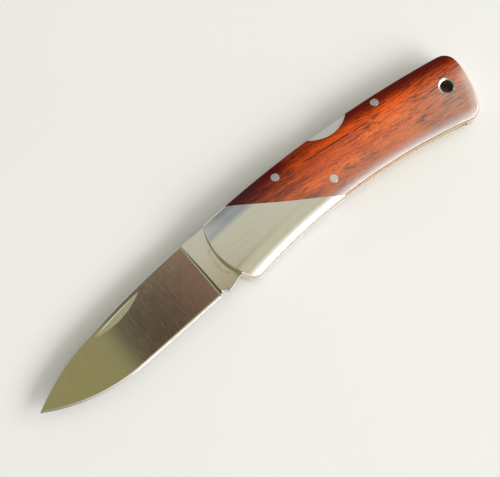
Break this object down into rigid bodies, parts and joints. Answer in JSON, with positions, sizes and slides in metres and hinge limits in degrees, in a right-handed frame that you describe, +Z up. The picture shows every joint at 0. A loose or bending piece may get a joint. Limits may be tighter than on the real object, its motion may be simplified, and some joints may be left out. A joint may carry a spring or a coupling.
{
  "type": "folding pocket knife",
  "caption": "Lock-back folding pocket knife with a drop-point blade, slanted steel bolsters, glossy wood scales, brass liners and a lanyard hole at the butt.",
  "frame": {"origin": "under the middle of the open knife's length and width, on the surface it lies on", "axes": "+X from blade tip to butt, +Y towards the spine, +Z up out of the front scale"},
  "size_m": [0.167, 0.0284, 0.0095],
  "materials": {
    "blade_steel": "satin polished along the flats, bright sharpened edge",
    "bolster_steel": "polished, fine hairlines",
    "satin_steel": "satin",
    "spring_steel": "blued spring steel",
    "pin_steel": "ground flush and polished",
    "brass": "satin, a little tarnished",
    "bronze": "plain rolled strip",
    "scale_wood": "dense red-brown hardwood with dark streaks, oiled and polished"
  },
  "bodies": {
    "handle": {"lock_spring": "spring_steel", "back_spacer": "satin_steel", "pivot_pin": "pin_steel", "lock_pivot_pin": "pin_steel", "spacer_pin": "pin_steel", "lanyard_tube": "pin_steel", "front_liner": "brass", "front_bolster": "bolster_steel", "front_scale": "scale_wood", "front_scale_pin": "pin_steel", "front_bolster_rivets": "pin_steel", "front_washer": "bronze", "rear_liner": "brass", "rear_bolster": "bolster_steel", "rear_scale": "scale_wood", "rear_scale_pin": "pin_steel", "rear_bolster_rivets": "pin_steel", "rear_washer": "bronze"},
    "blade": {"blade": "blade_steel"},
    "lock": {"lock_bar": "satin_steel"}
  },
  "joints": [
    {"name": "blade_fold", "type": "hinge", "parent": "handle", "child": "blade", "pos_m": [-0.00547, 0.00221, 0.00475], "axis": [0, 0, 1], "range_deg": [0, 171]},
    {"name": "lock_rock", "type": "hinge", "parent": "handle", "child": "lock", "pos_m": [0.01513, 0.01071, 0.00475], "axis": [0, 0, 1], "range_deg": [-1.4, 2.6], "stiffness_Nm_per_rad": 1.5, "springref_deg": 6.88, "deforming": ["lock_spring"]}
  ]
}
